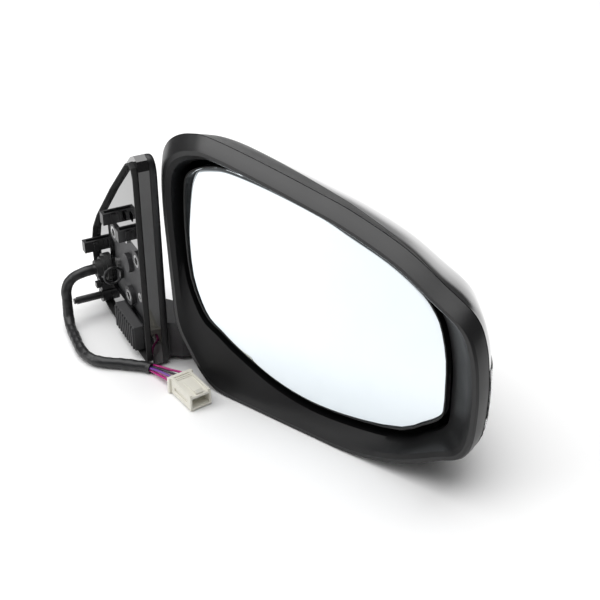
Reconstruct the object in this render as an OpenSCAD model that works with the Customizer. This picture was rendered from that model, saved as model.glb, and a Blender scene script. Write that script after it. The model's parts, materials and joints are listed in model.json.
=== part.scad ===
// Car side mirror, right-hand, power folding, with the head in its folded position.
// Millimetres. +X away from the door, +Y to the front of the car, +Z up.
// Origin: middle of the door mounting face.

/* [View] */
// Sub-part to draw

/* [Base] */
// Length of the sail base along the door
sail_len = 108; // [90:1:130]
// Height of the sail base
sail_h = 151; // [120:1:170]
// Depth of the door-side sail frame
frame_t = 7; // [5:0.5:9]
// Outer face of the sail cover
cover_x = 12.5; // [11:0.5:16]
// Door skin gap filled by the seal
seal_t = 3; // [2:0.5:5]
// Thread radius of the mounting inserts
thread_r = 2.6; // [2:0.1:4]
// Radius of the circle that the mounting inserts stand on
bolt_circle_r = 25; // [20:1:28]

/* [Fold pivot] */
// Distance of the fold axis from the mounting face
pivot_x = 83; // [70:1:100]
// How far the head is folded back in the resting position
fold_rest = 64; // [0:1:70]
// Pivot post radius
post_r = 9; // [7:0.5:12]
// Height of the top of the foot over the bottom of the head
foot_top = 30; // [24:1:32]

/* [Head] */
// Wall thickness of the head shells
wall = 2.5; // [2:0.1:3.5]
// Gap between neighbouring shells
shell_gap = 0.3; // [0.2:0.1:0.6]

/* [Mirror glass] */
// Upward lean of the glass at rest
glass_pitch = 9; // [0:0.5:12]
// Turn of the glass at rest
glass_yaw = 4; // [0:0.5:8]
// Glass thickness
glass_t = 2; // [1.5:0.1:3]
// Distance from the tilt axis to the lower plunger
tilt_arm = 32; // [26:1:36]
// Distance from the pan axis to the side plunger
pan_arm = 34; // [26:1:36]

/* [Wiring] */
// Radius of the taped harness
sheath_r = 3.6; // [2.5:0.1:5]
// Radius of one loose wire
wire_r = 0.8; // [0.5:0.1:1.2]

/* [Hidden] */
$fn = 48;
e = 0.01;
face_y = 40;
face_z = 60;
cover_wall = 2.5;
gim = [75, -40, 84];
post_z1 = 97;
boss_r = 22;
notch_top = 34;
notch_r = 26;
plunger_r = 3.6;
ball_r = 4;
pin_r = 2;
worm_core = 2;
worm_tip = 3.4;
wheel_teeth = 24;
wheel_pitch_r = 9.6;
wheel_gap = 12.3;
fold_teeth = 36;
fold_pitch_r = 15;
fold_gap = 17.7;

// Sail outline, [y, z] from the lower rear corner, going round.
sail = [
    [0, 3], [0, 143], [2, 149], [7, sail_h], [13, 148], [50, 114], [88, 76], [101, 60],
    [106, 48], [sail_len, 34], [106, 18], [101, 9], [93, 4], [80, 1], [3, 0]
];
sail_mid = [47, 58];

// Crest of the mirror head, [x, z], clockwise seen from behind the car.
crest = [
    [-31, 138], [-27, 149], [-19, 156], [-8, 160], [6, 161], [39, 157], [82, 150],
    [107, 145], [139, 135], [164, 122], [183, 111], [191, 97], [195, 77], [196, 59],
    [195, 42], [190, 31], [178, 24], [150, 9], [118, 1], [83, 0], [50, 0], [16, 1],
    [2, 8], [-10, 22], [-20, 38], [-24, 62], [-27.5, 90], [-30.5, 116]
];
crest_mid = [82, 80.5];
crest_half = [114, 80.5];

// Opening round the glass, point for point with the crest.
mouth = [
    [-26, 133], [-24, 140], [-18, 145], [-8, 149], [6, 151], [38, 148], [76, 141],
    [98, 134], [126, 124], [147, 112], [158, 101], [164, 90], [169, 73], [171, 56],
    [172, 40], [169, 33], [160, 26], [146, 17], [118, 12.5], [84, 12], [54, 18], [25, 30],
    [10, 38], [-1, 44], [-9, 54], [-17, 70], [-22, 92], [-25, 114]
];
mouth_mid = [73, 81];
mouth_half = [99, 70];

// Head sections: [y, lean, x middle, x half, z middle, z half].
shell_rings = [
    [-53, 0.07, 77.5, 119.5, 83, 82], [-42, 0.05, 74.5, 117.5, 82, 79],
    [-27, 0.03, 69.5, 111.5, 81.5, 73.5], [-11, 0.01, 64.5, 103.5, 80, 66],
    [5, 0, 58, 92, 74, 60], [19, 0, 50.5, 77.5, 69.5, 49.5], [30, 0, 42, 59, 67, 35],
    [37, 0, 35, 40, 66, 20], [40, 0, 33, 22, 66, 10]
];

// Harness route, from the gland to the end of the tape.
route = [
    [-0.3, 82, 36], [-10, 82, 36], [-20, 82, 35], [-27, 82, 32], [-31, 81, 26], [-32, 79, 18],
    [-33, 76, 11], [-34, 71, 6], [-35, 64, 4], [-36, 52, 4], [-37, 40, 4], [-36, 30, 4],
    [-33, 22, 4], [-27, 16, 4], [-20, 11, 4], [-12, 5, 4], [-6, 0, 4], [-3, -4, 4]
];
plug = [9, -38, 6];
plug_turn = 8;

// ---- placement ----

module at_base() translate([0, -face_y, -face_z]) children();

module at_head() translate([pivot_x, -face_y, -face_z]) rotate([0, 0, -fold_rest]) children();

module at_glass() at_head() translate(gim) rotate([-glass_pitch, 0, glass_yaw]) children();

// Turns a shape drawn flat in [y, z] so that it grows along +X.
module along_x(x0, x1) translate([x0, 0, 0]) rotate([90, 0, 90]) linear_extrude(x1 - x0) children();

// Turns a shape drawn flat in [x, z] so that it grows along +Y.
module along_y(y0, y1) translate([0, y1, 0]) rotate([90, 0, 0]) linear_extrude(y1 - y0) children();

module rod_x(r, x0, x1) translate([x0, 0, 0]) rotate([0, 90, 0]) cylinder(r = r, h = x1 - x0);

module rod_y(r, y0, y1) translate([0, y0, 0]) rotate([-90, 0, 0]) cylinder(r = r, h = y1 - y0);

// ---- curves and lofts ----

function pick(list, i) = list[(i + len(list)) % len(list)];

function blend(a, b, c, d, t) =
    0.5 * (2 * b + (c - a) * t + (2 * a - 5 * b + 4 * c - d) * t * t
    + (3 * b - a - 3 * c + d) * t * t * t);

function smooth(list, n) = [
    for (i = [0 : len(list) - 1]) for (j = [0 : n - 1])
        blend(pick(list, i - 1), list[i], pick(list, i + 1), pick(list, i + 2), j / n)
];

function about(list, mid, k) = [for (p = list) mid + (p - mid) * k];

function fit(list, mid, half, new_mid, new_half) = [
    for (p = list) [
        new_mid[0] + (p[0] - mid[0]) * new_half[0] / half[0],
        new_mid[1] + (p[1] - mid[1]) * new_half[1] / half[1]
    ]
];

crest_fine = smooth(crest, 2);
mouth_fine = smooth(mouth, 2);

// One ring of points on the plane y + lean * (z - 80) + turn * (x - 75).
function plane_ring(flat, y, lean, turn = 0) = [
    for (p = flat) [p[0], y + lean * (p[1] - 80) + turn * (p[0] - 75), p[1]]
];

function crest_ring(y, lean, mid, half) = plane_ring(
    fit(crest_fine, crest_mid, crest_half, mid, half), y, lean);

function mouth_ring(y, grow) = plane_ring(
    fit(mouth_fine, mouth_mid, mouth_half, mouth_mid, mouth_half + [grow, grow]), y,
    tan(glass_pitch), tan(glass_yaw));

function skin(n, a, b) = [
    for (i = [0 : n - 1]) let (j = (i + 1) % n)
        each [[a * n + i, b * n + i, b * n + j], [a * n + i, b * n + j, a * n + j]]
];

// A solid through a row of rings, with flat ends.
module loft(rings) {
    n = len(rings[0]);
    last = len(rings) - 1;
    polyhedron(
        points = [for (r = rings) each r],
        faces = [
            [for (i = [0 : n - 1]) i],
            for (k = [0 : last - 1]) each skin(n, k, k + 1),
            [for (i = [n - 1 : -1 : 0]) last * n + i]
        ],
        convexity = 8);
}

// A closed frame: the last ring joins the first one.
module loft_frame(rings) {
    n = len(rings[0]);
    m = len(rings);
    polyhedron(
        points = [for (r = rings) each r],
        faces = [for (k = [0 : m - 1]) each skin(n, k, (k + 1) % m)],
        convexity = 8);
}

function unit(v) = v / norm(v);

function tangent(pts, i) = unit(pts[min(i + 1, len(pts) - 1)] - pts[max(i - 1, 0)]);

function open_smooth(pts, n) = [
    for (i = [0 : len(pts) - 2]) for (j = [0 : n - 1])
        blend(pts[max(i - 1, 0)], pts[i], pts[i + 1], pts[min(i + 2, len(pts) - 1)], j / n),
    pts[len(pts) - 1]
];

function tube_ring(pts, i, r, sides) =
    let (t = tangent(pts, i), a = [1, 1, 1], u = unit(a - t * (a * t)), w = cross(t, u))
    [for (k = [0 : sides - 1])
        pts[i] + r * (cos(k * 360 / sides) * u + sin(k * 360 / sides) * w)];

// A round tube along a row of points.
module tube(pts, r, sides = 10) {
    last = len(pts) - 1;
    polyhedron(
        points = [for (i = [0 : last]) each tube_ring(pts, i, r, sides)],
        faces = [
            [for (i = [0 : sides - 1]) i],
            for (k = [0 : last - 1]) each skin(sides, k, k + 1),
            [for (i = [sides - 1 : -1 : 0]) last * sides + i]
        ],
        convexity = 8);
}

// ---- gears, worms and springs ----

// Flat outline of a gear with straight-sided teeth; one tooth points along +X.
module gear_flat(teeth, r_root, r_tip, w_root, w_tip) {
    circle(r = r_root);
    for (i = [0 : teeth - 1])
        rotate([0, 0, i * 360 / teeth])
            polygon([
                [r_root - 0.5, -w_root / 2], [r_tip, -w_tip / 2],
                [r_tip, w_tip / 2], [r_root - 0.5, w_root / 2]
            ]);
}

// Worm thread along +Z: a crest crosses the +X side at height zero and every pitch.
module worm_thread(core, tip, pitch, turns, starts = 1) {
    steps = 16;
    n = turns * steps;
    section = [
        [core - 0.4, -0.5], [core, -0.45], [tip, -0.18], [tip, 0.18], [core, 0.45], [core - 0.4, 0.5]
    ];
    s = len(section);
    for (k = [0 : starts - 1])
        polyhedron(
            points = [
                for (i = [0 : n])
                    let (a = i * 360 / steps + 360 * k / starts,
                        z = (i / steps - turns / 2) * pitch * starts)
                    each [for (p = section) [p[0] * cos(a), p[0] * sin(a), z + p[1]]]
            ],
            faces = [
                [for (m = [s - 1 : -1 : 0]) m],
                for (i = [0 : n - 1]) for (m = [0 : s - 1]) let (q = (m + 1) % s) each [
                    [i * s + m, i * s + q, (i + 1) * s + q],
                    [i * s + m, (i + 1) * s + q, (i + 1) * s + m]
                ],
                [for (m = [0 : s - 1]) n * s + m]
            ],
            convexity = 8);
}

module coil(r, wire, z0, z1, turns) {
    steps = 16;
    pts = [
        for (i = [0 : turns * steps]) let (a = i * 360 / steps)
            [r * cos(a), r * sin(a), z0 + (z1 - z0) * i / (turns * steps)]
    ];
    tube(pts, wire, 8);
}

// A cross-head screw standing on its head's underside, shank down.
module screw(head_r, head_h, shank_r, shank_len) {
    difference() {
        cylinder(r = head_r, h = head_h);
        for (a = [0, 90])
            rotate([0, 0, a])
                translate([-head_r * 0.6, -0.4, head_h * 0.45])
                    cube([head_r * 1.2, 0.8, head_h]);
    }
    translate([0, 0, -shank_len]) cylinder(r = shank_r, h = shank_len + e);
}

module motor(r, length) {
    intersection() {
        cylinder(r = r, h = length);
        translate([-r, -r * 0.8, 0]) cube([2 * r, 1.6 * r, length]);
    }
    translate([0, 0, length - e]) cylinder(r = r * 0.3, h = 1.5);
    for (s = [-1, 1])
        translate([s * r * 0.5 - 0.6, -0.3, length - e]) cube([1.2, 0.6, 3]);
}

// ---- base ----

module sail_flat(k) polygon(about(sail, sail_mid, k));

module foot_window() translate([1, 3]) square([52, 30]);

module sail_frame() at_base() color([0.06, 0.06, 0.06]) difference() {
    along_x(0, frame_t) sail_flat(1);
    along_x(2.6, frame_t + e) intersection() {
        sail_flat(0.9);
        translate([5, 4]) square([80, 130]);
    }
    along_x(-e, 3) polygon([[11, 26], [72, 26], [72, 76], [64, 84], [11, 84]]);
    along_x(-e, 1.2) difference() {
        sail_flat(0.955);
        sail_flat(0.925);
    }
    for (p = [[20, 104], [34, 98], [90, 72]])
        translate([0, p[0], p[1]]) rod_x(3.4, -e, 3);
    translate([0, 82, 36]) rod_x(8, -e, 3);
    translate([0, 84, 13]) rod_x(2.65, -e, 3);
}

module sail_cover() at_base() color([0.09, 0.09, 0.09]) difference() {
    union() {
        along_x(frame_t + shell_gap, cover_x - 2) sail_flat(1);
        along_x(cover_x - 2 - e, cover_x) sail_flat(0.975);
    }
    along_x(frame_t, cover_x - cover_wall) sail_flat(0.94);
    along_x(frame_t, cover_x + e) foot_window();
}

module door_seal() at_base() color([0.03, 0.03, 0.03]) along_x(-seal_t, 1) difference() {
    sail_flat(0.95);
    sail_flat(0.93);
}

bolt_at = [for (a = [30, 150, 270]) [face_y, face_z] + bolt_circle_r * [cos(a), sin(a)]];
insert_r = 4.2;
insert_len = 9.4;
screw_at = [[40, 78], [20, 44], [64, 48]];

module foot_flat() polygon([
    [4, 21.6], [-46, 24], [-56, 28], [-64, 38], [-69, 50], [-75.6, 50], [-75.6, 4], [-69, 4],
    [-62, -1], [-52, -3], [0, -3]
]);

module foot_bracket() at_base() color([0.12, 0.12, 0.12]) difference() {
    union() {
        along_x(3.2, 6.4) polygon([
            [6, 10], [50, 10], [76, 30], [80, 60], [66, 82], [14, 82], [8, 70], [6, 40]
        ]);
        along_x(6, 9) translate([6, 10]) square([42, 19]);
        translate([pivot_x, 0, 4]) {
            cylinder(r = boss_r, h = foot_top - 4);
            linear_extrude(foot_top - 4) foot_flat();
        }
        for (p = bolt_at)
            translate([0, p[0], p[1]]) rod_x(6.6, 0, insert_len + 0.2);
        translate([0, face_y, face_z]) rod_x(6.6, 0, 4);
    }
    translate([pivot_x, 0, -e]) cylinder(r = 6, h = foot_top + 5);
    translate([pivot_x, 0, 3]) cylinder(r = 17, h = 18);
    translate([22, 2, 3]) cube([32, 18, 20]);
    for (p = bolt_at)
        translate([0, p[0], p[1]]) rod_x(insert_r, -1, insert_len + 1);
    for (p = screw_at)
        translate([0, p[0], p[1]]) rod_x(1.6, 0, 7);
    translate([0, 82, 36]) rod_x(9, 0, 8);
}

// Threaded bushes pressed into the bracket; the door's bolts go into them.
module mounting_inserts() at_base() color([0.55, 0.55, 0.58]) for (p = bolt_at)
    translate([0, p[0], p[1]]) difference() {
        rod_x(insert_r - 0.01, 0.02, insert_len);
        rod_x(thread_r, -1, insert_len + 1);
    }

module locating_peg() at_base() color([0.1, 0.1, 0.1]) translate([0, 84, 13]) {
    rod_x(2.6, -24, 2.6);
    rod_x(2, -26, -24 + e);
    rod_x(5, -6, -0.05);
}

module bracket_screws() at_base() color([0.3, 0.3, 0.3]) for (p = screw_at)
    translate([3.15, p[0], p[1]]) rotate([0, -90, 0]) screw(3.2, 2, 1.55, 3);

// Sprung push clips that hold the inner door trim.
module clip_prong(reach) {
    translate([-reach, -3, -4]) cube([reach, 1.6, 8]);
    translate([-reach, 1.4, -4]) cube([reach, 1.6, 8]);
    translate([-reach - 2, -3, -4]) cube([2.01, 6, 8]);
    translate([-reach * 0.6, 3, -3]) cube([3, 1.4, 6]);
    translate([-reach * 0.6, -4.4, -3]) cube([3, 1.4, 6]);
}

module trim_clips() at_base() color([0.05, 0.05, 0.05]) {
    translate([-0.05, 48, 92]) clip_prong(9);
    translate([-0.05, 22, 92]) clip_prong(8);
    translate([-0.05, 91, 50]) clip_prong(11);
}

module seal_block() at_base() color([0.2, 0.2, 0.2]) {
    translate([-6, 16, 6.5]) cube([5.95, 36, 18]);
    for (i = [0 : 8])
        translate([-7.2, 17 + i * 4, 7.5]) cube([1.3, 1.6, 16]);
}

module pull_loop() at_base() color([0.08, 0.08, 0.08]) translate([-4, 58, 42]) {
    rotate([90, 0, 0]) rotate_extrude($fn = 32) translate([6, 0]) circle(r = 0.9, $fn = 16);
    translate([4.9, -1.8, -3]) cube([2, 3.6, 6]);
}

module harness_gland() at_base() color([0.04, 0.04, 0.04]) translate([0, 82, 36]) difference() {
    union() {
        rod_x(7.6, -5, 2.5);
        rod_x(9.6, -2.4, -0.05);
        rod_x(6, -9, -5 + e);
    }
    rod_x(sheath_r + 0.2, -10, -0.2);
    rod_x(2.5, -1, 3);
}

module harness_clip() at_base() color([0.14, 0.14, 0.14]) translate([-0.05, 84, 22]) {
    translate([-6, -4, -3.5]) cube([6, 8, 7]);
    translate([-9, -2, -2]) cube([3.1, 4, 4]);
}

// ---- wiring ----

sheath_line = open_smooth(route, 2);

module harness() at_base() color([0.05, 0.05, 0.05]) tube(sheath_line, sheath_r, 10);

// A thin sleeve round a row of points.
module sleeve(pts, r_in, r_out, sides = 12) {
    last = len(pts) - 1;
    loft_frame([
        for (i = [0 : last]) tube_ring(pts, i, r_out, sides),
        for (i = [last : -1 : 0]) tube_ring(pts, i, r_in, sides)
    ]);
}

module harness_tape() at_base() color([0.09, 0.09, 0.09]) {
    line = open_smooth(route, 4);
    for (s = [[6, 9], [41, 44], [64, 67]])
        sleeve([for (i = [s[0] : s[1]]) line[i]], sheath_r + 0.15, sheath_r + 0.4);
}

wire_slots = [-5.25, -1.05, 3.15, -3.15, 1.05, 5.25];

function plug_point(x, y, z) = plug + [
    x * cos(plug_turn) - y * sin(plug_turn), x * sin(plug_turn) + y * cos(plug_turn), z
];

// Loose wires fan out from the end of the tape to the back of the plug.
function wire_line(i) =
    let (s = wire_slots[i], across = (i % 3 - 1) * 1.9, up = (floor(i / 3) - 0.5) * 2)
    [
        [-2.96 + across * 0.8, -4.06 + across * 0.6, 4 + up],
        [-0.6 + across, -7.2 + across * 0.5, 4.4 + up * 1.2],
        [2.6 + s * 0.5 + across * 0.5, -15, 5.6 + up * 1.3],
        plug_point(s, 15.5, up * 0.8),
        plug_point(s, 7.8, 0.3)
    ];

module plug_wires() at_base() for (i = [0 : 5])
    color([0.75, 0.2 + 0.1 * i, 0.6]) tube(open_smooth(wire_line(i), 3), wire_r, 8);

module plug_housing() at_base() color([0.9, 0.9, 0.86])
    translate(plug) rotate([0, 0, plug_turn]) difference() {
        union() {
            translate([-7.5, -16, -5]) cube([15, 27, 10]);
            translate([-8.8, 8, -5.6]) cube([17.6, 3, 11.2]);
            translate([-2.6, -15, 5]) cube([5.2, 18, 1.4]);
            translate([-2.6, -15, 6]) cube([5.2, 3, 1.4]);
        }
        for (s = wire_slots)
            translate([s - 0.9, -15, -1.6]) cube([1.8, 29, 3.8]);
        for (x = [-7.6, 6.6])
            translate([x, -11, -2]) cube([1, 14, 4]);
        translate([-6.2, -16.1, -3.4]) cube([12.4, 7, 6.8]);
    }

module plug_terminals() at_base() color([0.8, 0.75, 0.5])
    translate(plug) rotate([0, 0, plug_turn]) for (s = wire_slots)
        translate([s - 0.7, -8.5, -1]) cube([1.4, 16, 1.6]);

// ---- fold pivot, on the base ----

module pivot_post() at_base() color([0.6, 0.6, 0.62]) translate([pivot_x, 0, 0]) difference() {
    union() {
        translate([0, 0, foot_top - 9 + 0.05]) cylinder(r = 5.95, h = 10);
        translate([0, 0, foot_top + 0.05]) cylinder(r = 16, h = 6.5);
        translate([0, 0, foot_top]) cylinder(r = post_r, h = post_z1 - foot_top);
    }
    translate([0, 0, foot_top - 10]) cylinder(r = 4, h = 100);
    translate([0, 0, post_z1 - 4]) difference() {
        cylinder(r = post_r + 1, h = 1.4);
        cylinder(r = post_r - 1, h = 1.4);
    }
}

gear_z = 44;

module fold_gear() at_base() color([0.7, 0.68, 0.6]) translate([pivot_x, 0, gear_z]) difference() {
    union() {
        cylinder(r = 13, h = 7);
        translate([0, 0, 2]) rotate([0, 0, -fold_rest - 90 + 180 / fold_teeth]) linear_extrude(3)
            gear_flat(fold_teeth, fold_pitch_r - 1, fold_pitch_r + 0.5, 1, 0.45);
    }
    translate([0, 0, -1]) cylinder(r = post_r + 0.03, h = 9);
}

module fold_spring() at_base() color([0.5, 0.5, 0.52]) translate([pivot_x, 0, 0])
    coil(13, 1.4, 54.5, 86.4, 6);

module spring_washer() at_base() color([0.62, 0.62, 0.64]) translate([pivot_x, 0, 0]) difference() {
    union() {
        translate([0, 0, 88.2]) cylinder(r = 16, h = 3);
        translate([0, 0, 51.2]) cylinder(r = 16, h = 1.6);
    }
    cylinder(r = post_r + 0.05, h = 100);
}

module circlip() at_base() color([0.4, 0.4, 0.42]) translate([pivot_x, 0, post_z1 - 3.9]) difference() {
    cylinder(r = 11.5, h = 1.2);
    translate([0, 0, -1]) cylinder(r = post_r - 0.9, h = 4);
    translate([5, -3, -1]) cube([10, 6, 4]);
}

// ---- head shells ----

function shell_ring(k, inset) = let (s = shell_rings[k]) crest_ring(
    s[0] - inset * 0.6 * (s[0] > 20 ? 1 : 0), s[1], [s[2], s[4]], [s[3] - inset, s[5] - inset]);

shell_last = len(shell_rings) - 1;

module shell_solid(inset, front = 0) {
    start = crest_ring(shell_rings[0][0] - front, shell_rings[0][1],
        [shell_rings[0][2], shell_rings[0][4]],
        [shell_rings[0][3] - inset, shell_rings[0][5] - inset]);
    loft([if (front > 0) start, for (k = [0 : shell_last]) shell_ring(k, inset)]);
}

// Space swept by the foot as the head folds, and by the round boss.
module notch(grow = 0) translate([0, 0, -5]) linear_extrude(notch_top + 5 + grow) {
    circle(r = notch_r + grow);
    polygon(concat([[0, 0]], [for (a = [96 : 12 : 252]) 110 * [cos(a), sin(a)]]));
    rotate([0, 0, 136]) translate([0, -24]) square([100, 24]);
}

// Side of the slanted split that belongs to the gloss cap.
module cap_side(shift) translate([20, -22 + shift, 60]) rotate([0, 0, -11])
    translate([-120, 0, -35]) cube([400, 120, 200]);

module lens_block(grow) translate([176 - grow, -52 - grow, 34 - grow])
    cube([40, 26 + 2 * grow, 48 + 2 * grow]);

module head_shell() difference() {
    shell_solid(0);
    translate([0, -e, 0]) shell_solid(wall, 8);
    notch(0);
}

module rear_housing() at_head() color([0.16, 0.16, 0.16]) difference() {
    head_shell();
    cap_side(-shell_gap);
    lens_block(shell_gap);
}

module skull_cap() at_head() color([0.03, 0.03, 0.03]) difference() {
    intersection() {
        head_shell();
        cap_side(0);
    }
    lens_block(shell_gap);
}

module indicator_lens() at_head() color([0.85, 0.87, 0.9]) intersection() {
    difference() {
        shell_solid(-0.6);
        shell_solid(1.6, 8);
    }
    lens_block(0);
}

module indicator_housing() at_head() color([0.75, 0.75, 0.75]) difference() {
    translate([176.5, -42, 42]) cube([4.6, 6, 34]);
    translate([177.8, -41, 43.2]) cube([5, 4, 31.6]);
}

module indicator_board() at_head() color([0.1, 0.35, 0.2]) {
    translate([177.9, -40.9, 43.5]) cube([1, 3.8, 31]);
    for (z = [48, 55, 62, 69])
        translate([178.85, -40.4, z - 1.5]) cube([1.2, 2.8, 3]);
}

module bezel() at_head() color([0.13, 0.13, 0.13]) difference() {
    loft_frame([
        crest_ring(-64.4, 0.07, crest_mid, crest_half - [0.6, 0.6]),
        crest_ring(-63, 0.07, [81.5, 80.9], [115, 80.7]),
        crest_ring(-53.3, 0.07, [77.5, 83], [119.3, 81.8]),
        crest_ring(-53.3, 0.07, [77.5, 83], [116.6, 79.1]),
        crest_ring(-59.5, 0.07, [80.5, 81.5], [112.6, 77]),
        mouth_ring(-48.8, 1.8),
        mouth_ring(-44, 1.8),
        mouth_ring(-44, 0),
        mouth_ring(-51, 0),
        crest_ring(-62.6, 0.07, crest_mid, crest_half - [6, 5]),
        crest_ring(-64.4, 0.07, crest_mid, crest_half - [3, 3])
    ]);
    notch(0);
}

module pivot_cover() at_head() color([0.07, 0.07, 0.07]) intersection() {
    shell_solid(wall + 0.4);
    difference() {
        translate([-60, -40, 2]) cube([92, 80, notch_top]);
        notch(0);
        translate([0, 0, 30]) cylinder(r = 16.4, h = 10);
        difference() {
            translate([-70, -60, -1]) cube([200, 200, notch_top + e]);
            cylinder(r = notch_r + 2.4, h = notch_top + 1);
        }
    }
}

// ---- head frame and fold drive ----

module head_frame() color([0.1, 0.1, 0.1]) {
    at_glass() difference() {
        union() {
            translate([-30, 30.3, -46]) cube([77, 2.6, 75]);
            for (z = [-33, -10, 14])
                translate([-30, 30.3, z]) cube([66, 6, 2.6]);
            translate([5, 30.3, -33]) cube([2.6, 6, 49]);
        }
        for (p = [[-24, -28], [-24, -5], [12, -28], [12, -5]])
            translate([p[0], 28, p[1]]) cube([22, 12, 16]);
        adjuster_posts(1.7, 28, 40);
    }
    at_head() difference() {
        translate([32, -17, 62]) cube([16, 8, 26]);
        translate([36, -18, 60]) cube([8, 6, 30]);
        for (z = [66, 82])
            translate([0, 0, z]) rod_x(1.7, 30, 40);
    }
    at_head() difference() {
        translate([32, -12, 62]) cube([4, 18, 26]);
        for (z = [66, 82])
            translate([0, 0, z]) rod_x(1.7, 30, 40);
    }
}

module fold_hull(grow, z0, z1) linear_extrude(z1 - z0) {
    circle(r = 16.8 + grow);
    translate([-12 - grow, -28 - grow]) square([49 + 2 * grow, 19 + 2 * grow]);
}

module fold_housing() at_head() color([0.09, 0.09, 0.09]) difference() {
    union() {
        translate([0, 0, 37]) fold_hull(1.8, 37, 58);
        translate([0, 0, 57]) cylinder(r = 18.4, h = 35);
        translate([14.5, -6, 61]) cube([17.1, 12, 28]);
    }
    translate([0, 0, 40]) fold_hull(0, 40, 59);
    translate([0, 0, 57]) cylinder(r = 16.6, h = 40);
    translate([0, 0, 36]) cylinder(r = post_r + 0.4, h = 6);
    for (z = [66, 82])
        translate([0, 0, z]) rod_x(1.5, 20, 40);
}

module fold_lid() at_head() color([0.08, 0.08, 0.08]) difference() {
    translate([0, 0, 92.3]) cylinder(r = 18.4, h = 7.7);
    translate([0, 0, 92]) cylinder(r = 16.6, h = 6.3);
}

module motor_lid() at_head() color([0.08, 0.08, 0.08]) difference() {
    translate([10, -29.6, 58.1]) cube([28.8, 22.4, 2]);
    cylinder(r = 18.8, h = 70);
}

worm_y = -fold_gap;
worm_z = gear_z + 3.5;

module fold_motor() at_head() color([0.65, 0.65, 0.67]) translate([11, worm_y, worm_z]) rotate([0, 90, 0])
    motor(7, 22);

module fold_worm() at_head() color([0.75, 0.7, 0.55]) translate([0, worm_y, worm_z])
    rotate([0, 90, 0]) rotate([0, 0, 90]) {
        translate([0, 0, -8.4]) cylinder(r = worm_core, h = 18.4, $fn = 12);
        worm_thread(worm_core, worm_tip, 2 * PI * fold_pitch_r / fold_teeth, 4);
    }

module adjuster_screws() at_glass() color([0.35, 0.35, 0.36])
    for (p = [[-12.8, 25.5], [42.8, 25.5], [42.8, -40.8], [-12.8, -40.8]])
        translate([p[0], 33.35, p[1]]) rotate([-90, 0, 0]) screw(2.8, 2, 1.45, 20);

module fold_screws() at_head() color([0.35, 0.35, 0.36]) for (z = [66, 82])
    translate([36.05, 0, z]) rotate([0, 90, 0]) screw(3, 2, 1.45, 13);

module head_wires() at_glass() color([0.5, 0.1, 0.1]) for (i = [0 : 2]) let (s = i * 2.2)
    tube(open_smooth([
        [box_x0 - 0.3, 18, -8 + s], [-26, 17, -7 + s], [-35 - s / 2, 19, -8 + s],
        [-41 - s, 23, -12 + s], [-42.5 - s, 26, -18.4]
    ], 3), 0.9, 8);

// ---- glass adjuster ----

box_x0 = -17;
box_x1 = 47;
box_z0 = -45;
box_z1 = 30;
box_y1 = 30;
nut_y = 13;

module adjuster_posts(r, y0, y1) for (p = [[-12.8, 25.5], [42.8, 25.5], [42.8, -40.8], [-12.8, -40.8]])
    translate([p[0], 0, p[1]]) rod_y(r, y0, y1);

module adjuster_housing() at_glass() color([0.2, 0.2, 0.21]) {
    difference() {
        union() {
            translate([box_x0, 7.8, box_z0]) cube([box_x1 - box_x0, 14.2, box_z1 - box_z0]);
            for (s = [-1, 1])
                translate([-4, -3, s * 21.3 - 2.7]) cube([8, 11, 5.4]);
        }
        translate([box_x0 + 2, 9.1, box_z0 + 2])
            cube([box_x1 - box_x0 - 4, 14, box_z1 - box_z0 - 4]);
        translate([0, 0, -30]) cylinder(r = pin_r + 0.05, h = 60);
        translate([0, 0, -tilt_arm]) rod_y(plunger_r + 0.3, 0, 12);
        translate([pan_arm, 0, 0]) rod_y(plunger_r + 0.3, 0, 12);
    }
    difference() {
        adjuster_posts(3.4, 8, 22);
        adjuster_posts(1.5, 10, 23);
    }
}

module adjuster_cover() at_glass() color([0.22, 0.22, 0.23]) difference() {
    translate([box_x0, 22.3, box_z0]) cube([box_x1 - box_x0, box_y1 - 22.3, box_z1 - box_z0]);
    translate([box_x0 + 2, 22, box_z0 + 2])
        cube([box_x1 - box_x0 - 4, box_y1 - 24, box_z1 - box_z0 - 4]);
    adjuster_posts(1.7, 20, 40);
}

module nut_wheel(phase) rotate([-90, 0, 0]) difference() {
    union() {
        translate([0, 0, nut_y + 1.8]) rotate([0, 0, phase]) linear_extrude(2.4)
            gear_flat(wheel_teeth, wheel_pitch_r - 1, wheel_pitch_r + 0.5, 1, 0.45);
        translate([0, 0, 9.3]) cylinder(r = 6.4, h = 12.4);
    }
    cylinder(r = plunger_r + 0.3, h = 40);
}

module tilt_nut() at_glass() color([0.88, 0.88, 0.84]) translate([0, 0, -tilt_arm])
    nut_wheel(-90 + 180 / wheel_teeth);

module pan_nut() at_glass() color([0.88, 0.88, 0.84]) translate([pan_arm, 0, 0])
    nut_wheel(180 + 180 / wheel_teeth);

wheel_pitch = 2 * PI * wheel_pitch_r / wheel_teeth;

module adjuster_worm() {
    translate([0, 0, -7]) cylinder(r = worm_core, h = 17, $fn = 12);
    worm_thread(worm_core, worm_tip, wheel_pitch, 2, 2);
}

module tilt_worm() at_glass() color([0.8, 0.75, 0.55]) translate([0, nut_y + 3, wheel_gap - tilt_arm])
    rotate([0, 90, 0]) adjuster_worm();

module pan_worm() at_glass() color([0.8, 0.75, 0.55])
    translate([pan_arm - wheel_gap, nut_y + 3, 0]) adjuster_worm();

module tilt_motor() at_glass() color([0.66, 0.66, 0.68])
    translate([10.5, nut_y + 3, wheel_gap - tilt_arm]) rotate([0, 90, 0]) rotate([0, 0, 90]) motor(6.4, 18);

module pan_motor() at_glass() color([0.66, 0.66, 0.68])
    translate([pan_arm - wheel_gap, nut_y + 3, 10.5]) motor(6.4, 13);

module plunger() {
    sphere(r = ball_r);
    rod_y(2.2, 3, 8);
    rod_y(plunger_r, 5.6, 23);
}

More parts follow.
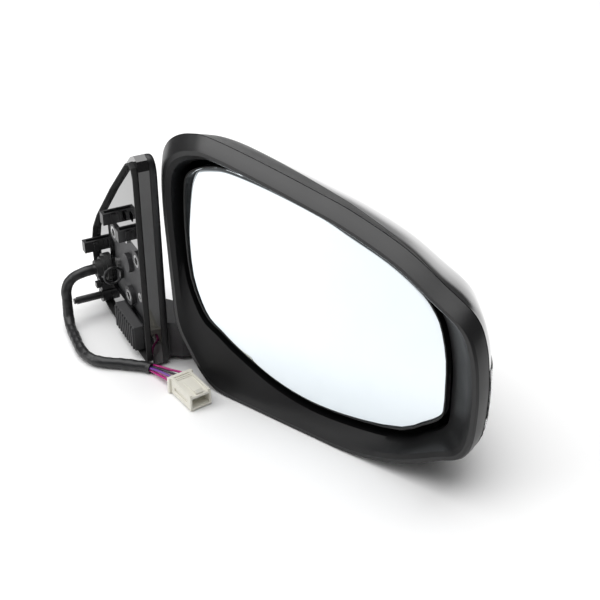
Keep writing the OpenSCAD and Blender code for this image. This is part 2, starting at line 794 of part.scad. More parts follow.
module tilt_plunger() at_glass() color([0.92, 0.92, 0.9]) translate([0, 0, -tilt_arm]) plunger();

module pan_plunger() at_glass() color([0.92, 0.92, 0.9]) translate([pan_arm, 0, 0]) plunger();

module gimbal_ring() at_glass() color([0.85, 0.85, 0.82]) {
    difference() {
        rod_y(17, -2.5, 2.5);
        rod_y(12.5, -3, 3);
    }
    for (s = [0, 1])
        mirror([0, 0, s]) translate([0, 0, 16]) cylinder(r = pin_r, h = 7.6);
    for (s = [0, 1])
        mirror([s, 0, 0]) rod_x(pin_r, 16, 23.6);
}

// ---- glass and its carrier ----

glass_flat = [for (p = mouth_fine) [
    mouth_mid[0] - gim[0] + (p[0] - mouth_mid[0]) * 0.95,
    mouth_mid[1] - gim[2] + (p[1] - mouth_mid[1]) * 0.93
]];

module glass_slab(k, y0, y1) along_y(y0, y1) polygon([for (p = glass_flat) p * k]);

glass_y = -11.5;
glass_front = -13.9;
glass_bulge_r = 1300;

module socket() difference() {
    rod_y(6.8, -7, 2.4);
    sphere(r = ball_r + 0.6);
}

module glass_carrier() at_glass() color([0.11, 0.11, 0.11]) {
    difference() {
        glass_slab(1.012, glass_y + glass_t + 0.6, -6.4);
        for (p = [[-58, 6], [-40, -18], [62, -24], [58, 6], [-20, 34], [20, 26]])
            translate([p[0], 0, p[1]]) rod_y(5, -12, 0);
    }
    difference() {
        glass_slab(1.012, glass_y - 0.4, glass_y + glass_t + 0.61);
        glass_slab(1.002, glass_y - 1, glass_y + glass_t + 1);
    }
    for (s = [0, 1])
        mirror([s, 0, 0]) difference() {
            translate([18.6, -7, -4]) cube([5.4, 9.4, 8]);
            rod_x(pin_r + 0.05, 18, 25);
        }
    translate([0, 0, -tilt_arm]) socket();
    translate([pan_arm, 0, 0]) socket();
}

module heater_pad() at_glass() color([0.35, 0.2, 0.1])
    glass_slab(0.96, glass_y + glass_t + 0.05, glass_y + glass_t + 0.55);

module heater_tabs() at_glass() color([0.75, 0.6, 0.3]) for (z = [0, 9])
    translate([-58, -6.35, z + 1]) cube([6, 7, 0.8]);

// One ring of the bulging front of the glass, shrunk by k towards its middle.
function front_ring(k) = [
    for (p = glass_flat) [p[0] * k, glass_front + k * k * (p * p) / (2 * glass_bulge_r), p[1] * k]
];

module mirror_glass() at_glass() color([0.8, 0.85, 0.9]) loft([
    [for (p = glass_flat) [p[0], glass_y + glass_t, p[1]]],
    for (k = [1 : -0.16 : 0.03]) front_ring(k)
]);

sail_frame();
sail_cover();
door_seal();
foot_bracket();
mounting_inserts();
locating_peg();
bracket_screws();
trim_clips();
seal_block();
pull_loop();
harness_gland();
harness_clip();
harness();
harness_tape();
plug_wires();
plug_housing();
plug_terminals();
pivot_post();
fold_gear();
fold_spring();
spring_washer();
circlip();
bezel();
rear_housing();
skull_cap();
pivot_cover();
indicator_lens();
indicator_housing();
indicator_board();
head_frame();
fold_housing();
fold_lid();
motor_lid();
fold_motor();
fold_worm();
adjuster_screws();
fold_screws();
head_wires();
adjuster_housing();
adjuster_cover();
tilt_motor();
pan_motor();
tilt_worm();
pan_worm();
tilt_nut();
pan_nut();
tilt_plunger();
pan_plunger();
gimbal_ring();
glass_carrier();
heater_pad();
heater_tabs();
mirror_glass();
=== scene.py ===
import json
import math

import bmesh
import bpy
import numpy as np
from mathutils import Matrix, Vector


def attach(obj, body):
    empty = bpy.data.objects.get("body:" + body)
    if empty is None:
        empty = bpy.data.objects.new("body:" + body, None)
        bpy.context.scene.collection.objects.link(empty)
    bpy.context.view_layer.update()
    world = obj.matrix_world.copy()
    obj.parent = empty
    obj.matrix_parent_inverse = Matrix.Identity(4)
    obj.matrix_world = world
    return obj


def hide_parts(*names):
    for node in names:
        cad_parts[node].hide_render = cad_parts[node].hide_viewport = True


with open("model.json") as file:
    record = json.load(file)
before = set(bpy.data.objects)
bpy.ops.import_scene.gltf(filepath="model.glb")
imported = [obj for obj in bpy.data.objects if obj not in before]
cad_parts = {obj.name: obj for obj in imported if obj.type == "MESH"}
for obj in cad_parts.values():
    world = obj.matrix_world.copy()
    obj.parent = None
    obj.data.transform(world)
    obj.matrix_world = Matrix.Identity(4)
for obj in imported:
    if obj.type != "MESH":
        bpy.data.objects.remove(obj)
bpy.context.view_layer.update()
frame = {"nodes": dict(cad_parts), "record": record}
CAD = frame["nodes"]

MM = 0.001
FLOOR_Z = -0.060

# ---- camera ----

cam_data = bpy.data.cameras.new("camera")
cam_data.sensor_fit = "HORIZONTAL"
cam_data.angle = math.radians(28.07)
cam = bpy.data.objects.new("camera", cam_data)
bpy.context.scene.collection.objects.link(cam)
cam.location = (-0.2078, -0.6602, 0.3979)
aim = Vector((0.1249, -0.0074, -0.0600))
cam.rotation_euler = (aim - cam.location).to_track_quat("-Z", "Y").to_euler()
bpy.context.scene.camera = cam

# ---- frames of the model, in millimetres and degrees ----

PIVOT_X = 83
FOLDED = -64
GLASS_MID = (75, -40, 84)
GLASS_TURN = 4
GLASS_LEAN = 9
BASE = Matrix.Translation((0, -40, -60))
HEAD = BASE @ Matrix.Translation((PIVOT_X, 0, 0)) @ Matrix.Rotation(math.radians(FOLDED), 4, "Z")
GLASS = (
    HEAD
    @ Matrix.Translation(GLASS_MID)
    @ Matrix.Rotation(math.radians(GLASS_TURN), 4, "Z")
    @ Matrix.Rotation(math.radians(-GLASS_LEAN), 4, "X")
)


def link(name, verts, faces, at):
    """A mesh object from points in millimetres in one of the frames above."""
    me = bpy.data.meshes.new(name)
    me.from_pydata([tuple((at @ Vector(v)) * MM) for v in verts], [], faces)
    me.validate()
    me.update()
    o = bpy.data.objects.new(name, me)
    bpy.context.scene.collection.objects.link(o)
    return o


# ---- materials ----

COAT_ROUGHNESS = 0.03
CLOUD_SCALE = 60.0
GRAIN_DEPTH = 0.0002
ROUGHNESS_SWING = 1.6


def material(name, colour, rough, metal=0.0, coat=0.0, bump=0.15, scale=1500.0, vary=0.12, spec=0.5):
    """A painted, moulded or metal finish with fine grain, cloudy roughness and a little colour drift."""
    m = bpy.data.materials.new(name)
    m.use_nodes = True
    nt = m.node_tree
    b = nt.nodes["Principled BSDF"]
    b.inputs["Metallic"].default_value = metal
    b.inputs["Coat Weight"].default_value = coat
    b.inputs["Coat Roughness"].default_value = COAT_ROUGHNESS
    b.inputs["Specular IOR Level"].default_value = spec
    co = nt.nodes.new("ShaderNodeTexCoord")
    cloud = nt.nodes.new("ShaderNodeTexNoise")
    cloud.inputs["Scale"].default_value = CLOUD_SCALE
    cloud.inputs["Detail"].default_value = 6.0
    nt.links.new(co.outputs["Object"], cloud.inputs["Vector"])
    rr = nt.nodes.new("ShaderNodeMapRange")
    rr.inputs["To Min"].default_value = rough * (1 - ROUGHNESS_SWING * vary)
    rr.inputs["To Max"].default_value = min(1.0, rough * (1 + ROUGHNESS_SWING * vary))
    nt.links.new(cloud.outputs["Fac"], rr.inputs["Value"])
    nt.links.new(rr.outputs["Result"], b.inputs["Roughness"])
    mix = nt.nodes.new("ShaderNodeMix")
    mix.data_type = "RGBA"
    mix.inputs["A"].default_value = (*[c * (1 - vary) for c in colour], 1)
    mix.inputs["B"].default_value = (*[min(1, c * (1 + vary)) for c in colour], 1)
    nt.links.new(cloud.outputs["Fac"], mix.inputs["Factor"])
    nt.links.new(mix.outputs["Result"], b.inputs["Base Color"])
    grain = nt.nodes.new("ShaderNodeTexNoise")
    grain.inputs["Scale"].default_value = scale
    grain.inputs["Detail"].default_value = 3.0
    nt.links.new(co.outputs["Object"], grain.inputs["Vector"])
    bm = nt.nodes.new("ShaderNodeBump")
    bm.inputs["Strength"].default_value = bump
    bm.inputs["Distance"].default_value = GRAIN_DEPTH
    nt.links.new(grain.outputs["Fac"], bm.inputs["Height"])
    nt.links.new(bm.outputs["Normal"], b.inputs["Normal"])
    return m


FINISH = {
    "base_black": material("base_black", (0.010, 0.010, 0.011), 0.40, bump=0.3, scale=2200, spec=0.4),
    "gloss_black": material("gloss_black", (0.004, 0.004, 0.0045), 0.05, coat=1.0, bump=0.012, scale=260),
    "foam_black": material("foam_black", (0.02, 0.02, 0.02), 0.9, bump=0.9, scale=1400),
    "cast_black": material("cast_black", (0.03, 0.03, 0.032), 0.5, bump=0.4, scale=1100),
    "zinc_steel": material("zinc_steel", (0.5, 0.5, 0.5), 0.32, metal=1.0, bump=0.1, scale=2400),
    "clip_black": material("clip_black", (0.018, 0.018, 0.019), 0.34, bump=0.12, scale=1500),
    "grey_rubber": material("grey_rubber", (0.06, 0.06, 0.062), 0.7, bump=0.5, scale=1300),
    "soft_rubber": material("soft_rubber", (0.02, 0.02, 0.02), 0.55, bump=0.25, scale=900),
    "taped_sheath": material("taped_sheath", (0.012, 0.012, 0.013), 0.38, bump=0.3, scale=700),
    "wire_pink": material("wire_pink", (0.5, 0.02, 0.22), 0.35, bump=0.06, scale=900),
    "plug_white": material("plug_white", (0.74, 0.72, 0.64), 0.42, bump=0.1, scale=900, vary=0.05),
    "tin_brass": material("tin_brass", (0.7, 0.6, 0.38), 0.3, metal=1.0, bump=0.1),
    "bright_steel": material("bright_steel", (0.6, 0.6, 0.6), 0.25, metal=1.0, bump=0.08),
    "sintered_steel": material("sintered_steel", (0.35, 0.35, 0.35), 0.5, metal=1.0, bump=0.5, scale=2600),
    "spring_steel": material("spring_steel", (0.3, 0.3, 0.31), 0.3, metal=1.0, bump=0.1),
    "satin_grey": material("satin_grey", (0.012, 0.012, 0.0125), 0.33, bump=0.16, scale=2600, spec=0.42),
    # Painted shade: the mouth's inner walls get a darker colour and a weaker sheen than the flank.
    "mouth_painted_shade": material("mouth_painted_shade", (0.006, 0.006, 0.0065), 0.42, bump=0.3, scale=2300, spec=0.22),
    "matte_black": material("matte_black", (0.01, 0.01, 0.0105), 0.6, bump=0.3, scale=2200),
    "lamp_chrome": material("lamp_chrome", (0.85, 0.85, 0.86), 0.08, metal=1.0, bump=0.03),
    "board_green": material("board_green", (0.02, 0.14, 0.06), 0.35, bump=0.1),
    "frame_black": material("frame_black", (0.02, 0.02, 0.021), 0.5, bump=0.4, scale=1600),
    "motor_steel": material("motor_steel", (0.48, 0.48, 0.49), 0.28, metal=1.0, bump=0.1),
    "worm_brass": material("worm_brass", (0.62, 0.44, 0.18), 0.28, metal=1.0, bump=0.08),
    "box_grey": material("box_grey", (0.12, 0.12, 0.125), 0.5, bump=0.3, scale=1700),
    "white_acetal": material("white_acetal", (0.72, 0.72, 0.68), 0.38, bump=0.1, scale=1200, vary=0.05),
    "heater_film": material("heater_film", (0.08, 0.05, 0.03), 0.5, bump=0.1),
    "mirror_silver": material(
        "mirror_silver", (0.80, 0.855, 0.89), 0.012, metal=1.0, bump=0.002, scale=80, vary=0.02
    ),
}


def lens_material():
    """Clear moulded plastic."""
    m = material("clear_lens", (0.9, 0.92, 0.94), 0.06, bump=0.05, scale=500)
    b = m.node_tree.nodes["Principled BSDF"]
    b.inputs["Transmission Weight"].default_value = 0.92
    b.inputs["IOR"].default_value = 1.49
    return m


FINISH["clear_lens"] = lens_material()
WIRES = {
    "magenta": material("wire_magenta", (0.42, 0.01, 0.18), 0.35, bump=0.05),
    "pink": material("wire_pale_pink", (0.75, 0.25, 0.42), 0.35, bump=0.05),
    "purple": material("wire_purple", (0.16, 0.04, 0.30), 0.35, bump=0.05),
    "white": material("wire_white", (0.75, 0.74, 0.70), 0.35, bump=0.05, vary=0.05),
    "dark": material("wire_dark", (0.03, 0.03, 0.04), 0.35, bump=0.05),
}


def shade(o, angle=35):
    """Smooth shading, with edges over the angle kept sharp."""
    me = o.data
    for p in me.polygons:
        p.use_smooth = True
    me.set_sharp_from_angle(angle=math.radians(angle))


def round_edges(o, width, angle=35, segments=2):
    """Soft edges, as a modifier; width in millimetres."""
    mod = o.modifiers.new("soft_edges", "BEVEL")
    mod.width = width * MM
    mod.segments = segments
    mod.limit_method = "ANGLE"
    mod.angle_limit = math.radians(angle)
    mod.harden_normals = True
    mod.use_clamp_overlap = True


def done(o, body, slot, replaced=(), edge=0.0, look=None, angle=35):
    """Finish a made piece: smooth shading, soft edges, finish, body and the CAD nodes it stands for."""
    shade(o, angle)
    if edge:
        round_edges(o, edge, angle)
    o.data.materials.clear()
    o.data.materials.append(look or FINISH[slot])
    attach(o, body)
    if replaced:
        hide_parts(*replaced)
    return o


def bake(o):
    """Replace a mesh by its modified self."""
    deps = bpy.context.evaluated_depsgraph_get()
    me = bpy.data.meshes.new_from_object(o.evaluated_get(deps))
    old = o.data
    o.modifiers.clear()
    o.data = me
    bpy.data.meshes.remove(old)
    return o


def combine(o, tool, how, keep=False):
    """Cut, join or intersect with a tool, which is then removed unless it is kept."""
    mod = o.modifiers.new("cut", "BOOLEAN")
    mod.operation = how
    mod.solver = "EXACT"
    mod.object = tool
    bake(o)
    if not keep:
        bpy.data.objects.remove(tool)
    return o


# ---- curves and lofts ----


def spline(points, n, closed=True):
    """A smooth curve through the points, with n steps between each two."""
    p = np.array(points, float)
    m = len(p)
    out = []
    spans = m if closed else m - 1
    for i in range(spans):
        if closed:
            a, b, c, d = p[i - 1], p[i], p[(i + 1) % m], p[(i + 2) % m]
        else:
            a, b, c, d = p[max(i - 1, 0)], p[i], p[i + 1], p[min(i + 2, m - 1)]
        for j in range(n):
            t = j / n
            out.append(0.5 * (2 * b + (c - a) * t + (2 * a - 5 * b + 4 * c - d) * t * t
                              + (3 * b - a - 3 * c + d) * t ** 3))
    if not closed:
        out.append(p[-1])
    return np.array(out)


def skin(rings, cap_start=False, cap_end=False, wrap=False):
    """Points and faces of a surface from ring to ring."""
    n = len(rings[0])
    m = len(rings)
    verts = [tuple(v) for r in rings for v in r]
    faces = []
    for k in range(m if wrap else m - 1):
        q = (k + 1) % m
        for i in range(n):
            j = (i + 1) % n
            faces.append((k * n + i, q * n + i, q * n + j, k * n + j))
    if cap_start:
        faces.append(tuple(range(n)))
    if cap_end:
        faces.append(tuple((m - 1) * n + i for i in range(n - 1, -1, -1)))
    return verts, faces


def outward(o):
    """Turn every face outwards."""
    bm = bmesh.new()
    bm.from_mesh(o.data)
    bmesh.ops.recalc_face_normals(bm, faces=bm.faces)
    bm.to_mesh(o.data)
    bm.free()
    return o


def prism(name, flat, lo, hi, at, axis="z"):
    """An outline pushed along one axis, from lo to hi."""
    pick = {
        "x": lambda p, h: (h, p[0], p[1]),
        "y": lambda p, h: (p[0], h, p[1]),
        "z": lambda p, h: (p[0], p[1], h),
    }[axis]
    v, f = skin([[pick(p, lo) for p in flat], [pick(p, hi) for p in flat]], True, True)
    return outward(link(name, v, f, at))


def block(name, lo, hi, at):
    """A box from its low corner to its high corner."""
    flat = [(lo[0], lo[1]), (hi[0], lo[1]), (hi[0], hi[1]), (lo[0], hi[1])]
    return prism(name, flat, lo[2], hi[2], at)


def disc(r, n):
    """A round outline."""
    return [(r * math.cos(2 * math.pi * i / n), r * math.sin(2 * math.pi * i / n)) for i in range(n)]


def joined(name, parts):
    """One object from several."""
    bm = bmesh.new()
    for p in parts:
        bm.from_mesh(p.data)
        bpy.data.objects.remove(p)
    me = bpy.data.meshes.new(name)
    bm.to_mesh(me)
    bm.free()
    o = bpy.data.objects.new(name, me)
    bpy.context.scene.collection.objects.link(o)
    return o


# ---- head shells ----

# Outline of the head, [x, z], and its middle and half sizes.
CREST = [
    [-31, 138], [-27, 149], [-19, 156], [-8, 160], [6, 161], [39, 157], [82, 150],
    [107, 145], [139, 135], [164, 122], [183, 111], [191, 97], [195, 77], [196, 59],
    [195, 42], [190, 31], [178, 24], [150, 9], [118, 1], [83, 0], [50, 0], [16, 1],
    [2, 8], [-10, 22], [-20, 38], [-24, 62], [-27.5, 90], [-30.5, 116],
]
CREST_MID = (82, 80.5)
CREST_HALF = (114, 80.5)

# Opening round the glass, point for point with the crest.
MOUTH = [
    [-26, 133], [-24, 140], [-18, 145], [-8, 149], [6, 151], [38, 148], [76, 141],
    [98, 134], [126, 124], [147, 112], [158, 101], [164, 90], [169, 73], [171, 56],
    [172, 40], [169, 33], [160, 26], [146, 17], [118, 12.5], [84, 12], [54, 18], [25, 30],
    [10, 38], [-1, 44], [-9, 54], [-17, 70], [-22, 92], [-25, 114],
]
MOUTH_MID = (73, 81)
MOUTH_HALF = (99, 70)

# Sections of the shells: [y, lean, x middle, x half, z middle, z half].
SHELL = [
    [-53, 0.07, 77.5, 119.5, 83, 82], [-42, 0.05, 74.5, 117.5, 82, 79],
    [-27, 0.03, 69.5, 111.5, 81.5, 73.5], [-11, 0.01, 64.5, 103.5, 80, 66],
    [5, 0, 58, 92, 74, 60], [19, 0, 50.5, 77.5, 69.5, 49.5], [30, 0, 42, 59, 67, 35],
    [37, 0, 35, 40, 66, 20], [40, 0, 33, 22, 66, 10],
]
SHELL_FINE = 5
RIM_LEAN = 0.07
LEAN_FROM = 80
WALL = 2.5
SEAM = 0.3
FINE = 7
crest_fine = spline(CREST, FINE)
mouth_fine = spline(MOUTH, FINE)


def crest_ring(y, lean, mid, half, ripple=None):
    """The head's outline at a depth, scaled to a middle and half sizes."""
    x = mid[0] + (crest_fine[:, 0] - CREST_MID[0]) * half[0] / CREST_HALF[0]
    z = mid[1] + (crest_fine[:, 1] - CREST_MID[1]) * half[1] / CREST_HALF[1]
    if ripple is not None:
        x = x + ripple(z)
    return np.stack([x, y + lean * (z - LEAN_FROM), z], 1)


def mouth_ring(y, grow):
    """The opening's outline, in a plane parallel to the glass."""
    x = MOUTH_MID[0] + (mouth_fine[:, 0] - MOUTH_MID[0]) * (MOUTH_HALF[0] + grow) / MOUTH_HALF[0]
    z = MOUTH_MID[1] + (mouth_fine[:, 1] - MOUTH_MID[1]) * (MOUTH_HALF[1] + grow) / MOUTH_HALF[1]
    lean, turn = math.tan(math.radians(GLASS_LEAN)), math.tan(math.radians(GLASS_TURN))
    return np.stack([x, y + lean * (z - LEAN_FROM) + turn * (x - GLASS_MID[0]), z], 1)


def bowl_rings(inset, ripple=None):
    """Sections of the shells from the rim to the back, drawn in by the inset."""
    rows = spline(SHELL, SHELL_FINE, closed=False)
    sink = 0.6 * inset
    rings = []
    for s in rows:
        y = s[0] - sink * min(1.0, max(0.0, (s[0] - 5) / 15))
        rings.append(crest_ring(y, s[1], (s[2], s[4]), (s[3] - inset, s[5] - inset), ripple))
    tip = rows[-1]
    for y, k in ((0.9, 0.66), (1.35, 0.34), (1.5, 0.05)):
        half = ((tip[3] - inset) * k, (tip[5] - inset) * k)
        rings.append(crest_ring(tip[0] - sink + y, 0, (tip[2], tip[4]), half))
    return rings


def bowl(name, outer, inner, ripple=None):
    """A closed shell between two insets."""
    rings = list(reversed(bowl_rings(inner))) + bowl_rings(outer, ripple)
    v, f = skin(rings, True, True)
    return outward(link(name, v, f, HEAD))


def turned(points, angle, x=0.0, y=0.0):
    """Points turned about the origin and then moved."""
    c, s = math.cos(math.radians(angle)), math.sin(math.radians(angle))
    return [(x + c * p[0] - s * p[1], y + s * p[0] + c * p[1]) for p in points]


def notch():
    """The room the foot sweeps through under the head."""
    fan = [(0, 0)] + [
        (110 * math.cos(math.radians(a)), 110 * math.sin(math.radians(a))) for a in range(96, 253, 4)
    ]
    slot = turned([(0, -24), (100, -24), (100, 0), (0, 0)], 136)
    o = prism("notch", disc(26, 96), -5, 34, HEAD)
    combine(o, prism("fan", fan, -5.01, 34.003, HEAD), "UNION")
    return combine(o, prism("slot", slot, -5.02, 33.996, HEAD), "UNION")


def cap_side(shift):
    """Everything behind the slanted seam."""
    flat = turned([(-120, 0), (280, 0), (280, 120), (-120, 120)], -11, 20, -22 + shift)
    return prism("cap_side", flat, 25, 225, HEAD)


def lens_block(grow):
    """The place of the lens in the side of the head."""
    return block("lens_block", (176 - grow, -52 - grow, 34 - grow), (216, -26 + grow, 82 + grow), HEAD)


the_notch = notch()

rear = bowl("rear_housing_skin", 0, WALL)
combine(rear, the_notch, "DIFFERENCE", keep=True)
combine(rear, cap_side(-SEAM), "DIFFERENCE")
combine(rear, lens_block(SEAM), "DIFFERENCE")
done(rear, "head", "satin_grey", ["rear_housing"], edge=0.5)

cap = bowl("skull_cap_skin", 0, WALL)
combine(cap, cap_side(0), "INTERSECT")
combine(cap, the_notch, "DIFFERENCE", keep=True)
combine(cap, lens_block(SEAM), "DIFFERENCE")
done(cap, "head", "gloss_black", ["skull_cap"], edge=0.6)

FLUTE_DEPTH = 0.22
FLUTE_PITCH = 2.6


def flutes(z):
    return FLUTE_DEPTH * np.sin(z * 2 * math.pi / FLUTE_PITCH)


lens = bowl("indicator_lens_skin", -0.6, 1.6, ripple=flutes)
combine(lens, lens_block(0), "INTERSECT")
done(lens, "head", "clear_lens", ["indicator_lens"], edge=0.4)


def bezel():
    """The ring round the glass: flank, rim, slope and mouth."""
    mid, half = CREST_MID, CREST_HALF
    rings = [
        crest_ring(-64.4, RIM_LEAN, mid, (half[0] - 0.6, half[1] - 0.6)),
        crest_ring(-63, RIM_LEAN, (81.5, 80.9), (115, 80.7)),
        crest_ring(-58.2, RIM_LEAN, (79.6, 81.9), (117.4, 81.4)),
        crest_ring(-53.3, RIM_LEAN, (77.5, 83), (119.3, 81.8)),
        crest_ring(-53.3, RIM_LEAN, (77.5, 83), (116.6, 79.1)),
        crest_ring(-59.5, RIM_LEAN, (80.5, 81.5), (112.6, 77)),
        mouth_ring(-48.8, 1.8),
        mouth_ring(-44, 1.8),
        mouth_ring(-44, 0),
        mouth_ring(-51, 0),
    ]
    inner = mouth_ring(-51, 0)
    outer = crest_ring(-62.6, RIM_LEAN, mid, (half[0] - 6, half[1] - 5))
    for t, push in ((0.3, 0.5), (0.62, 0.7), (0.86, 0.35)):
        r = inner * (1 - t) + outer * t
        r[:, 1] += push
        rings.append(r)
    rings.append(outer)
    rings.append(crest_ring(-64.4, RIM_LEAN, mid, (half[0] - 3, half[1] - 3)))
    v, f = skin(rings, wrap=True)
    o = outward(link("bezel_skin", v, f, HEAD))
    combine(o, the_notch, "DIFFERENCE", keep=True)
    done(o, "head", "satin_grey", ["bezel"], edge=0.7, angle=28)
    # The mouth side is coarser than the flank; its darker colour and weaker sheen are painted shade of the
    # recess.
    o.data.materials.append(FINISH["mouth_painted_shade"])
    into = HEAD.inverted()
    for face in o.data.polygons:
        c = into @ (face.center / MM)
        n = into.to_3x3() @ face.normal
        inward = n.x * (c.x - mid[0]) + n.z * (c.z - mid[1]) < 0
        if inward and c.y - RIM_LEAN * (c.z - LEAN_FROM) > -64.2:
            face.material_index = 1


bezel()
bpy.data.objects.remove(the_notch)

# ---- mirror glass ----

GLASS_FRONT = -13.9
GLASS_BACK = -9.5
BULGE_RADIUS = 1300
glass_flat = np.stack([
    MOUTH_MID[0] - GLASS_MID[0] + (mouth_fine[:, 0] - MOUTH_MID[0]) * 0.95,
    MOUTH_MID[1] - GLASS_MID[2] + (mouth_fine[:, 1] - MOUTH_MID[1]) * 0.93,
], 1)


def glass():
    """A convex plate with a ground edge round its front."""

    def ring(k, drop=0.0):
        return [
            (p[0] * k, GLASS_FRONT + drop + k * k * float(p @ p) / (2 * BULGE_RADIUS), p[1] * k)
            for p in glass_flat
        ]

    rings = [[(p[0], GLASS_BACK, p[1]) for p in glass_flat], ring(1.0, 0.45), ring(0.9965, 0.08)]
    rings += [ring(0.991)] + [ring(k) for k in np.linspace(0.95, 0.03, 24)]
    v, f = skin(rings, True, True)
    o = outward(link("mirror_plate", v, f, GLASS))
    done(o, "glass", "mirror_silver", ["mirror_glass"], angle=20)


glass()

# ---- sail cover ----

# Outline of the base, [y, z], from its lower rear corner.
SAIL = [
    [0, 3], [0, 143], [2, 149], [7, 151], [13, 148], [50, 114], [88, 76], [101, 60],
    [106, 48], [108, 34], [106, 18], [101, 9], [93, 4], [80, 1], [3, 0],
]
SAIL_MID = np.array([47, 58])


def sail_flat(k):
    """The sail outline with its corners rounded, scaled about its middle."""
    p = np.array(SAIL, float)
    soft = []
    for i in range(len(p)):
        a, b, c = p[i - 1], p[i], p[(i + 1) % len(p)]
        la, lc = np.linalg.norm(a - b), np.linalg.norm(c - b)
        ra, rc = min(0.45 * la, 6), min(0.45 * lc, 6)
        s, e = b + (a - b) / la * ra, b + (c - b) / lc * rc
        for t in np.linspace(0, 1, 6):
            soft.append((1 - t) ** 2 * s + 2 * t * (1 - t) * b + t * t * e)
    return SAIL_MID + (np.array(soft) - SAIL_MID) * k


def sail_cover():
    """The outer cover of the base, with a crowned edge and a window for the foot."""
    outside = [(7.3, 1.0), (9.4, 1.0), (10.9, 0.995), (11.8, 0.985), (12.3, 0.97), (12.5, 0.95)]
    inside = [(7.3, 1.0), (7.3, 0.94), (10.0, 0.94)]
    sides = []
    for name, rows in (("outside", outside), ("inside", inside)):
        v, f = skin([[(x, p[0], p[1]) for p in sail_flat(k)] for x, k in rows], False, True)
        sides.append(link(name, v, f, BASE))
    o = joined("sail_cover_skin", sides)
    bm = bmesh.new()
    bm.from_mesh(o.data)
    bmesh.ops.remove_doubles(bm, verts=bm.verts, dist=1e-7)
    bmesh.ops.recalc_face_normals(bm, faces=bm.faces)
    bm.to_mesh(o.data)
    bm.free()
    combine(o, block("window", (5, 1, 3), (14, 53, 33), BASE), "DIFFERENCE")
    done(o, "base", "base_black", ["sail_cover"], edge=0.35)


sail_cover()

# ---- harness, wires and plug ----

# Middle of the harness from the gland to the end of the tape.
ROUTE = [
    [-0.3, 82, 36], [-10, 82, 36], [-20, 82, 35], [-27, 82, 32], [-31, 81, 26], [-32, 79, 18],
    [-33, 76, 11], [-34, 71, 6], [-35, 64, 4], [-36, 52, 4], [-37, 40, 4], [-36, 30, 4],
    [-33, 22, 4], [-27, 16, 4], [-20, 11, 4], [-12, 5, 4], [-6, 0, 4], [-3, -4, 4],
]
PLUG = np.array([9.0, -38.0, 6.0])
PLUG_TURN = 8
STEP = 0.6
TAPE_PITCH = 7.5
TAPE_RADIUS = 3.42
TAPE_THICK = 0.2
WIRE_RADIUS = 0.8
SLOTS = [-5.25, -1.05, 3.15, -3.15, 1.05, 5.25]


def tube(name, path, radius, sides, at):
    """A tube along points; radius is a number or a function of length and angle."""
    p = np.array(path, float)
    tan = np.gradient(p, axis=0)
    tan /= np.linalg.norm(tan, axis=1)[:, None]
    run = np.concatenate([[0], np.cumsum(np.linalg.norm(np.diff(p, axis=0), axis=1))])
    side = np.cross(tan[0], (0.3, 0.2, 1.0))
    rings = []
    for i in range(len(p)):
        side = side - tan[i] * np.dot(side, tan[i])
        side /= np.linalg.norm(side)
        up = np.cross(tan[i], side)
        ring = []
        for k in range(sides):
            a = 2 * math.pi * k / sides
            r = radius(run[i], a) if callable(radius) else radius
            ring.append(p[i] + r * (math.cos(a) * side + math.sin(a) * up))
        rings.append(ring)
    v, f = skin(rings, True, True)
    return outward(link(name, v, f, at)), run[-1]


def even(points, step):
    """Points at even steps along a smooth curve through the given ones."""
    p = spline(points, 24, closed=False)
    run = np.concatenate([[0], np.cumsum(np.linalg.norm(np.diff(p, axis=0), axis=1))])
    at = np.linspace(0, run[-1], max(2, int(run[-1] / step)))
    return np.stack([np.interp(at, run, p[:, i]) for i in range(3)], 1)


def wrapped(s, a):
    """Radius of tape wound round the wires: overlapping turns, soft lumps and a thicker start."""
    turn = (s / TAPE_PITCH + a / (2 * math.pi)) % 1.0
    lump = 0.10 * math.sin(s * 0.31 + 2 * a) + 0.08 * math.sin(s * 0.83 - a)
    return TAPE_RADIUS + TAPE_THICK * min(1.0, turn * 6) * (1 - 0.4 * turn) + lump


sheath_path = even(ROUTE, STEP)
sheath, sheath_len = tube("taped_harness", sheath_path, wrapped, 26, BASE)
done(sheath, "base", "taped_sheath", ["harness", "harness_tape"], angle=60)


def plug_point(x, y, z):
    """A point of the plug in the base's frame."""
    c, s = math.cos(math.radians(PLUG_TURN)), math.sin(math.radians(PLUG_TURN))
    return PLUG + np.array([x * c - y * s, x * s + y * c, z])


LOOKS = ["magenta", "pink", "white", "purple", "dark", "magenta"]
for i, s in enumerate(SLOTS):
    across, up = (i % 3 - 1) * 1.9, (i // 3 - 0.5) * 2
    line = [
        (-2.6 + across * 0.8, -3.4 + across * 0.6, 4 + up * 0.8),
        (-0.6 + across, -7.2 + across * 0.5, 4.4 + up * 1.2),
        (2.6 + s * 0.5 + across * 0.5, -15, 5.6 + up * 1.3),
        plug_point(s, 15.5, up * 0.8),
        plug_point(s, 7.8, 0.3),
    ]
    w, _ = tube(f"plug_wire_{i + 1}", even(line, STEP), WIRE_RADIUS, 14, BASE)
    done(w, "base", "wire_pink", ["plug_wires"], look=WIRES[LOOKS[i]], angle=60)


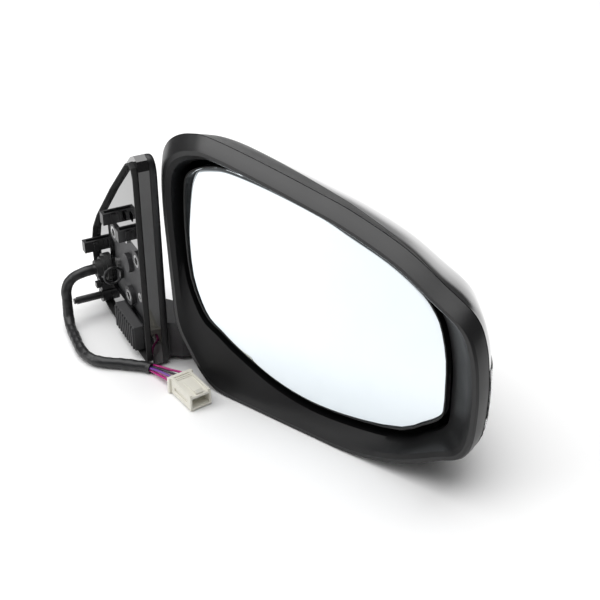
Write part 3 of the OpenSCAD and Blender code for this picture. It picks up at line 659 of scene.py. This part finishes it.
def plug_body():
    """The connector: a hollow body with its ways, rails, collar, latch and ribs."""
    at = BASE @ Matrix.Translation(PLUG) @ Matrix.Rotation(math.radians(PLUG_TURN), 4, "Z")
    body = block("plug_body", (-7.5, -16, -5), (7.5, 8.6, 5), at)
    combine(body, block("mouth", (-6.2, -17, -3.4), (6.2, -9, 3.4), at), "DIFFERENCE")
    for s in SLOTS:
        combine(body, block("way", (s - 0.9, 2, -1.6), (s + 0.9, 12, 2.2), at), "DIFFERENCE")
    for x in (-7.5, 7.5):
        combine(body, block("groove", (x - 0.7, -11, -1.4), (x + 0.7, 4, 1.4), at), "DIFFERENCE")
    parts = [
        body,
        block("rail_a", (-7.45, -15.4, 4.9), (-5.6, 8, 5.9), at),
        block("rail_b", (5.6, -15.4, 4.9), (7.45, 8, 5.9), at),
    ]
    collar = block("collar", (-8.8, 8.3, -5.5), (8.8, 11, 5.6), at)
    for s in SLOTS:
        combine(collar, block("way", (s - 0.9, 7, -1.6), (s + 0.9, 12, 2.2), at), "DIFFERENCE")
    parts.append(collar)
    arm = [(3.4, 5.0), (-12, 5.9), (-13.2, 7.4), (-15, 5.9), (-15, 5.2), (3.4, 4.8)]
    parts.append(prism("latch", arm, -2.6, 2.6, at, "x"))
    for y in (4.4, 6.2):
        parts.append(block("rib", (-5.4, y, 4.9), (5.4, y + 0.9, 5.45), at))
    return done(joined("connector_housing", parts), "base", "plug_white", ["plug_housing"], edge=0.28)


plug = plug_body()

# ---- finishes and soft edges on the CAD nodes that are shown as they are ----

SMALL_EDGE = 0.18

SLOTS_OF = {s["node"]: s["material_slot"] for s in frame["record"]["subparts"]}
EDGE = {
    "foot_bracket": 0.8, "sail_frame": 0.5, "pivot_cover": 0.5, "glass_carrier": 0.3,
    "head_frame": 0.4, "fold_housing": 0.5, "adjuster_housing": 0.5, "adjuster_cover": 0.5,
    "seal_block": 0.35, "harness_gland": 0.5, "door_seal": 0.5,
}
for name, o in CAD.items():
    if o.hide_render:
        continue
    o.data.materials.clear()
    o.data.materials.append(FINISH[SLOTS_OF[name]])
    shade(o)
    round_edges(o, EDGE.get(name, SMALL_EDGE))

# ---- floor, backdrop and light ----

bpy.ops.mesh.primitive_plane_add(size=12, location=(0, 0, FLOOR_Z))
floor = bpy.context.object
floor.name = "floor"
floor.data.materials.append(
    material("paper", (0.93, 0.93, 0.93), 0.6, bump=0.02, scale=300, vary=0.004, spec=0.2)
)

world = bpy.data.worlds.new("studio")
world.use_nodes = True
world.node_tree.nodes["Background"].inputs["Color"].default_value = (1, 1, 1, 1)
world.node_tree.nodes["Background"].inputs["Strength"].default_value = 0.10
bpy.context.scene.world = world


def softbox(name, where, to, size, power):
    """A rectangular light aimed at a point."""
    d = bpy.data.lights.new(name, "AREA")
    d.shape = "RECTANGLE"
    d.size, d.size_y = size
    d.energy = power
    o = bpy.data.objects.new(name, d)
    bpy.context.scene.collection.objects.link(o)
    o.location = where
    o.rotation_euler = (Vector(to) - Vector(where)).to_track_quat("-Z", "Y").to_euler()


softbox("top_light", (0.0, 0.25, 1.6), (0.05, 0.15, 0), (2.6, 2.4), 55)
softbox("left_light", (-1.5, 0.3, 0.7), (0.0, 0, 0), (0.9, 0.9), 9)
bpy.context.scene.view_settings.view_transform = "Standard"
